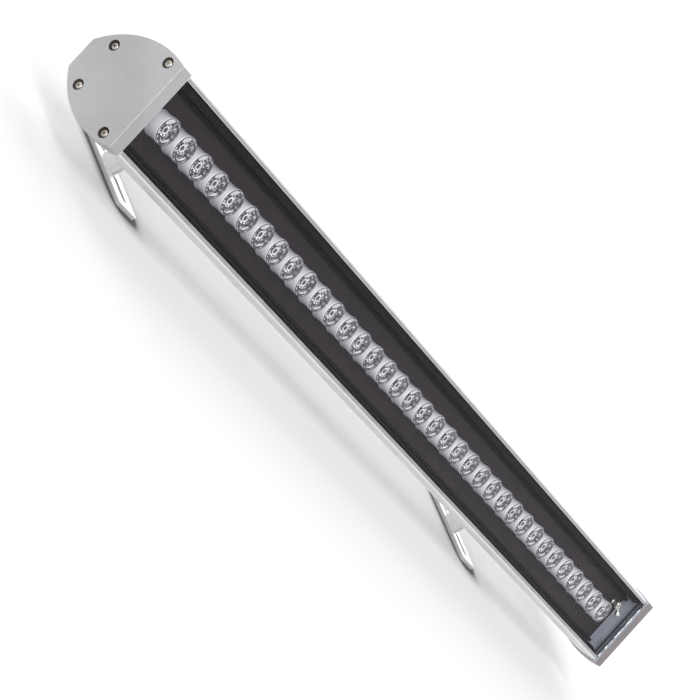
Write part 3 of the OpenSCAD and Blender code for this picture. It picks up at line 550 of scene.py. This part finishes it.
cup = turned("lensMirrors", [
    (9.5, 11.6), (9.2, 10.2), (8.5, 8.9), (7.4, 7.8), (6.1, 6.9), (4.7, 6.2), (3.3, 5.7)],
    lensLook["cupSides"], lensSpot)
pick(cup)
bpy.ops.object.mode_set(mode="EDIT")
bpy.ops.mesh.select_all(action="SELECT")
bpy.ops.mesh.flip_normals()
bpy.ops.transform.vertex_random(offset=0.0005, uniform=0.2, normal=0.0, seed=4)
bpy.ops.object.mode_set(mode="OBJECT")
settle(cup)
useMaterial(cup, mirrorFacets, paintedHighlightFacets, shadeFacets)
chance = Random(cupLook["seed"])
for face in cup.data.polygons:  # painted highlight and painted shade: glowing white facets stand for the light the lens throws to one side, dark facets for the dark floor seen through at the other
    turnAngle = degrees(atan2(face.center.y, face.center.x - lensLook["start"] * mm))
    radius = (face.center.xy - Vector((lensLook["start"] * mm, 0))).length / mm
    share = cupLook["mixed"]
    if cupLook["bright"][0] < turnAngle < cupLook["bright"][1] and radius > cupLook["starFrom"]:
        share = cupLook["brightShare"]
    if cupLook["shade"][0] < turnAngle < cupLook["shade"][1]:
        share = cupLook["shadeShare"]
    face.material_index = chance.choices((0, 1, 2), weights=share)[0]
inARow(cup)
intoLamp(cup)
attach(cup, "lamp")

core = turned("lensCores", [
    (3.4, 5.4), (3.2, 6.6), (2.7, 7.1), (2.1, 6.6), (1.9, 5.2), (0.9, 5.0), (0.8, 5.6), (0, 6.0)],
    24, lensSpot)
settle(core)
useMaterial(core, paintedHighlightFacets, shadeFacets)
for face in core.data.polygons:
    radius = (face.center.xy - Vector((lensLook["start"] * mm, 0))).length / mm
    face.material_index = 1 if radius < cupLook["dotWithin"] or radius > 3.1 else 0
inARow(core)
intoLamp(core)
smooth(core, 50)
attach(core, "lamp")

front = turned("lensFronts", [
    (9.55, 11.75), (8.4, 11.9), (6.0, 12.0), (3.2, 12.0), (2.4, 11.7), (0, 11.6)], 40, lensSpot)
pick(front)
bpy.ops.object.mode_set(mode="EDIT")
bpy.ops.mesh.select_all(action="SELECT")
bpy.ops.mesh.subdivide(number_cuts=1)
bpy.ops.object.mode_set(mode="OBJECT")
front.data.materials.append(lensFace)
inARow(front)
intoLamp(front)
smooth(front, 40)
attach(front, "lamp")
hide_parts("lenses")

rim = turned("lensRims", [
    (9.55, 9.75), (10.15, 9.75), (10.2, 10.6), (10.15, 11.5), (9.95, 11.9), (9.7, 11.95), (9.55, 11.75),
    (9.55, 9.75)], 40, lensSpot)
useMaterial(rim, milkyPlastic, rimPlastic)
for face in rim.data.polygons:
    face.material_index = 1 if face.normal.z > 0.35 else 0
inARow(rim)
intoLamp(rim)
smooth(rim, 40)
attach(rim, "lamp")
print("lenses made")


# Cap screws: threaded shank, domed head and cross recess, turned once and copied
screwLook = {"shank": 1.7, "root": 1.45, "length": 25.2, "pitch": 0.8, "head": 2.892, "seat": 2.6,
             "slot": (1.0, 3.6, 1.35)}


def capScrew():
    rings = [(0.5, -screwLook["length"]), (screwLook["root"], 1.2 - screwLook["length"])]
    height = 1.6 - screwLook["length"]
    while height < -4:
        rings += [(screwLook["shank"], height), (screwLook["root"], height + screwLook["pitch"] / 2)]
        height += screwLook["pitch"]
    rings += [(screwLook["shank"], -3.4), (screwLook["shank"], 0), (screwLook["head"], 0), (screwLook["head"], 0.5),
              (2.74, 1.0), (2.3, 1.5), (1.6, 1.84), (0.8, 1.97), (0, 2.0)]
    screw = turned("capScrew", rings, 28, closeEnds=True)
    wide, long, deep = screwLook["slot"]
    for size in ((wide, long, 2 * deep), (long, wide, 2 * deep)):
        clearSelection()
        bpy.ops.mesh.primitive_cube_add(size=1, location=(0, 0, 2.0 * mm))
        cutter = bpy.context.object
        cutter.scale = [v * mm for v in size]
        settle(cutter)
        for vert in cutter.data.vertices:  # the recess narrows towards its bottom
            if vert.co.z < 0.002:
                vert.co.x *= 0.55
                vert.co.y *= 0.55
        addModifier(screw, "BOOLEAN", object=cutter, operation="DIFFERENCE", solver="EXACT")
        bpy.data.objects.remove(cutter)
    settle(screw)
    return screw


firstScrew = capScrew()
for side, seatX, turnSide in (("near", screwLook["seat"], -90), ("far", 1000 - screwLook["seat"], 90)):
    screws = []
    for y, z in screwSpots:
        screw = firstScrew.copy()
        screw.data = firstScrew.data.copy()
        scene.collection.objects.link(screw)
        screw.matrix_world = (Matrix.Translation((seatX * mm, y * mm, z * mm))
                              @ Matrix.Rotation(radians(turnSide), 4, "Y")
                              @ Matrix.Rotation(radians(17 * len(screws) + 12), 4, "Z"))
        screws.append(screw)
    clearSelection()
    for screw in screws:
        screw.select_set(True)
    bpy.context.view_layer.objects.active = screws[0]
    bpy.ops.object.join()
    screw = screws[0]
    screw.name = screw.data.name = side + "CapScrews"
    intoLamp(screw)
    smooth(screw, 38)
    useMaterial(screw, stainless)
    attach(screw, "lamp")
    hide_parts("cap_screws_" + side)
bpy.data.objects.remove(firstScrew)
print("screws made")


# Clear plug in the board's lead hole, and the bead of sealant along the far edge of the glass
plugLook = {"x": 968, "y": 14.2, "head": (968, 14.2, -10.4), "lean": (0.8, -0.6, 0.12)}
plug = turned("leadPlug", [
    (2.0, -21.2), (2.4, -20.8), (2.4, -16.7), (2.3, -16.1), (1.8, -15.7), (1.5, -15.1), (1.5, -14.3),
    (2.0, -13.6), (2.9, -12.9), (3.6, -11.8), (3.8, -10.7), (3.55, -9.6), (2.8, -8.8), (1.5, -8.3), (0, -8.2)],
    28, (plugLook["x"], plugLook["y"], 0), closeEnds=True)
sleeve = turned("sleeve", [
    (0.5, 0), (0.9, 0.3), (0.9, 6.4), (1.5, 7.0), (2.2, 8.1), (2.5, 9.6), (2.2, 11.0), (1.3, 11.9), (0, 12.2)],
    20, closeEnds=True)
settle(sleeve)
sleeve.matrix_world = (Matrix.Translation([v * mm for v in plugLook["head"]])
                       @ Vector(plugLook["lean"]).to_track_quat("Z", "Y").to_matrix().to_4x4())
settle(plug)
plug.select_set(True)
sleeve.select_set(True)
bpy.ops.object.join()
plug.data.materials.append(plugGel)
intoLamp(plug)
smooth(plug, 60)
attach(plug, "lamp")
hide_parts("lead_plug")

beadLook = {"half": 29.2, "x": 985.7, "z": -1.1, "radius": 0.95, "cuts": 90, "shake": 0.0003}
clearSelection()
bpy.ops.mesh.primitive_cylinder_add(vertices=12, radius=beadLook["radius"] * mm, depth=2 * beadLook["half"] * mm,
                                    rotation=(radians(90), 0, 0),
                                    location=(beadLook["x"] * mm, 0, beadLook["z"] * mm))
bead = bpy.context.object
bead.name = bead.data.name = "glassBead"
settle(bead)
bpy.ops.object.mode_set(mode="EDIT")
bpy.ops.mesh.select_all(action="SELECT")
for cut in range(1, beadLook["cuts"]):
    bpy.ops.mesh.select_all(action="SELECT")
    bpy.ops.mesh.bisect(plane_co=(0, (2 * cut / beadLook["cuts"] - 1) * beadLook["half"] * mm, 0),
                        plane_no=(0, 1, 0))
bpy.ops.mesh.select_all(action="SELECT")
bpy.ops.transform.vertex_random(offset=beadLook["shake"], uniform=0.3, normal=0.0, seed=7)
bpy.ops.mesh.vertices_smooth(factor=0.5, repeat=2)
bpy.ops.object.mode_set(mode="OBJECT")
bead.data.materials.append(sealBead)
intoLamp(bead)
smooth(bead, 60)
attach(bead, "lamp")

edgeLook = {"inner": {-1: 29.75, 1: 30.5}, "outer": 32.2, "start": 14.5, "end": 985.3, "z": -1.2, "rise": 0.32}
for side in (-1, 1):  # painted shade: a flat grey strip over the gap between the glass and the lip makes the lip darker than the housing's sides
    inner = edgeLook["inner"][side]
    middle = (inner + edgeLook["outer"]) / 2
    clearSelection()
    bpy.ops.mesh.primitive_cube_add(size=1, location=(
        (edgeLook["start"] + edgeLook["end"]) / 2 * mm, side * middle * mm, edgeLook["z"] * mm))
    edgeBead = bpy.context.object
    edgeBead.name = edgeBead.data.name = "edgeBead" + ("Upper" if side > 0 else "Lower")
    edgeBead.scale = ((edgeLook["end"] - edgeLook["start"]) * mm, (edgeLook["outer"] - inner) * mm,
                      2 * edgeLook["rise"] * mm)
    settle(edgeBead)
    addModifier(edgeBead, "BEVEL", width=0.28 * mm, segments=3, limit_method="ANGLE")
    bpy.ops.object.mode_set(mode="EDIT")
    for cut in range(1, 60):
        bpy.ops.mesh.select_all(action="SELECT")
        bpy.ops.mesh.bisect(plane_co=((edgeLook["start"] + cut * 16.18) * mm, 0, 0), plane_no=(1, 0, 0))
    bpy.ops.mesh.select_all(action="SELECT")
    bpy.ops.transform.vertex_random(offset=0.00006, uniform=0.2, normal=0.0, seed=3)
    bpy.ops.object.mode_set(mode="OBJECT")
    edgeBead.data.materials.append(lipShadeStrip)
    intoLamp(edgeBead)
    smooth(edgeBead, 60)
    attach(edgeBead, "lamp")
print("plug and sealant made")


# Floor, light and camera

stageLook = {"size": 60, "floor": (0.86, 0.86, 0.86), "lift": 0.04, "world": 0.5, "touch": 0.02}


def seenByEye(tree):  # 1 for what is seen directly, in a gloss or through glass, 0 for light
    path = addNode(tree, "LightPath")
    seen = addNode(tree, "Math", operation="MAXIMUM")
    seenToo = addNode(tree, "Math", operation="MAXIMUM")
    tree.links.new(path.outputs["Is Camera Ray"], seen.inputs[0])
    tree.links.new(path.outputs["Is Glossy Ray"], seen.inputs[1])
    tree.links.new(seen.outputs["Value"], seenToo.inputs[0])
    tree.links.new(path.outputs["Is Transmission Ray"], seenToo.inputs[1])
    return seenToo.outputs["Value"]


clearSelection()
bpy.ops.mesh.primitive_plane_add(size=stageLook["size"], location=(12, 8, 0))
floor = bpy.context.object
floor.name = "floor"
settle(floor)
floorMaterial = bpy.data.materials.new("studioFloor")
floorMaterial.use_nodes = True
tree = floorMaterial.node_tree
shader = tree.nodes["Principled BSDF"]
# painted contact shadow: ambient occlusion darkens the floor's colour where something stands on it
touch = addNode(tree, "AmbientOcclusion", samples=48, only_local=False)  # darker where something stands on it
touch.inputs["Distance"].default_value = stageLook["touch"]
tree.links.new(ramp(tree, touch.outputs["AO"], 0.965, 1, (0.09, 0.09, 0.09), stageLook["floor"]),
               shader.inputs["Base Color"])
shader.inputs["Roughness"].default_value = 0.9
shader.inputs["Specular IOR Level"].default_value = 0.1
lift = addNode(tree, "Math", operation="MULTIPLY")
lift.inputs[1].default_value = stageLook["lift"]
tree.links.new(seenByEye(tree), lift.inputs[0])
shader.inputs["Emission Color"].default_value = (1, 1, 1, 1)
tree.links.new(lift.outputs["Value"], shader.inputs["Emission Strength"])
useMaterial(floor, floorMaterial)

world = bpy.data.worlds.new("studio")
scene.world = world
world.use_nodes = True
tree = world.node_tree
background = tree.nodes["Background"]
levels = addNode(tree, "MapRange")
levels.inputs["To Min"].default_value = stageLook["world"]
levels.inputs["To Max"].default_value = 1
tree.links.new(seenByEye(tree), levels.inputs["Value"])
background.inputs["Color"].default_value = (1, 1, 1, 1)
tree.links.new(levels.outputs["Result"], background.inputs["Strength"])


lights = {"keyLight": {"from": (2.15, 1.55, 1.6), "spread": 44, "power": 1.1},
          "secondKeyLight": {"from": (-0.6, 2.2, 1.6), "spread": 52, "power": 0.65},
          "fillLight": {"from": (-2.0, -1.7, 2.1), "spread": 45, "power": 1.8}}
for name, look in lights.items():
    light = bpy.data.lights.new(name, "SUN")
    light.angle = radians(look["spread"])
    light.energy = look["power"]
    obj = bpy.data.objects.new(name, light)
    scene.collection.objects.link(obj)
    obj.location = look["from"]
    obj.rotation_euler = (-Vector(look["from"])).to_track_quat("-Z", "Y").to_euler()

cameraLook = {"place": (-2.23649, -1.33785, 0.42602), "lens": 3501.9 * 36 / 700,
              "right": (0.36475, -0.34358, 0.86539), "down": (0.39863, -0.78231, -0.47861),
              "forward": (0.84146, 0.51954, -0.14838)}
camera = bpy.data.objects.new("camera", bpy.data.cameras.new("camera"))
scene.collection.objects.link(camera)
camera.data.sensor_width = 36
camera.data.lens = cameraLook["lens"]
camera.data.clip_start, camera.data.clip_end = 0.1, 200
turn = Matrix((cameraLook["right"], [-v for v in cameraLook["down"]],
               [-v for v in cameraLook["forward"]])).transposed()
camera.matrix_world = Matrix.Translation(cameraLook["place"]) @ turn.to_4x4()
scene.camera = camera
scene.view_settings.view_transform = "Standard"
print("studio made")
